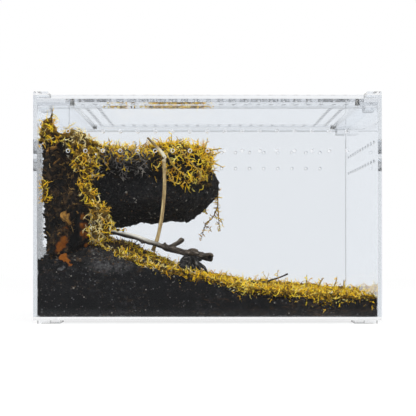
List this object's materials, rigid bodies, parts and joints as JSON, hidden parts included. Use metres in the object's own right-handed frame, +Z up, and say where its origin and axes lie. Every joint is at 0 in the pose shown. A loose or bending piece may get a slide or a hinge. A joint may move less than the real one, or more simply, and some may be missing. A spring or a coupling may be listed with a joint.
{
  "type": "acrylic reptile enclosure",
  "caption": "Clear acrylic terrarium with drilled walls, a drilled lift-off lid held by magnets, stacking tabs, feet, and a planted interior of banked ground, bark, moss and driftwood.",
  "frame": {"origin": "centre of the footprint, on the surface that the feet stand on", "axes": "+Z up, the front faces -Y, +X to the right as seen from the front"},
  "size_m": [0.3, 0.2, 0.2],
  "materials": {
    "clear_acrylic": "clear polished cast acrylic sheet",
    "magnet": "nickel plated",
    "soil": "moist dark ground with pale specks",
    "bark": "rough dark cork bark",
    "moss": "matt dry golden moss",
    "reed": "dry straw-coloured stem",
    "driftwood": "weathered grey-brown wood"
  },
  "bodies": {
    "enclosure": {"base_panel": "clear_acrylic", "front_panel": "clear_acrylic", "back_panel": "clear_acrylic", "left_panel": "clear_acrylic", "right_panel": "clear_acrylic", "ledge_front": "clear_acrylic", "ledge_back": "clear_acrylic", "ledge_left": "clear_acrylic", "ledge_right": "clear_acrylic", "rim_front": "clear_acrylic", "rim_back": "clear_acrylic", "rim_left": "clear_acrylic", "rim_right": "clear_acrylic", "corner_block_front_left": "clear_acrylic", "corner_block_front_right": "clear_acrylic", "corner_block_back_left": "clear_acrylic", "corner_block_back_right": "clear_acrylic", "stacking_tab_front_left": "clear_acrylic", "stacking_tab_front_right": "clear_acrylic", "stacking_tab_back_left": "clear_acrylic", "stacking_tab_back_right": "clear_acrylic", "foot_front_left": "clear_acrylic", "foot_front_right": "clear_acrylic", "foot_back_left": "clear_acrylic", "foot_back_right": "clear_acrylic", "ledge_magnet_front_left": "magnet", "ledge_magnet_front_right": "magnet", "ledge_magnet_back_left": "magnet", "ledge_magnet_back_right": "magnet", "soil_bed": "soil", "bark_column": "bark", "overhang": "soil", "ground_moss": "moss", "column_moss": "moss", "shelf_moss": "moss", "hanging_moss": "moss", "reed_stem": "reed", "driftwood_branch": "driftwood", "root_knot": "bark", "twig": "driftwood"},
    "lid": {"lid_panel": "clear_acrylic", "lid_magnet_front_left": "magnet", "lid_magnet_front_right": "magnet", "lid_magnet_back_left": "magnet", "lid_magnet_back_right": "magnet"}
  },
  "joints": [
    {"name": "lid_lift", "type": "slide", "parent": "enclosure", "child": "lid", "axis": [0, 0, 1], "range_m": [0, 0.06]}
  ]
}
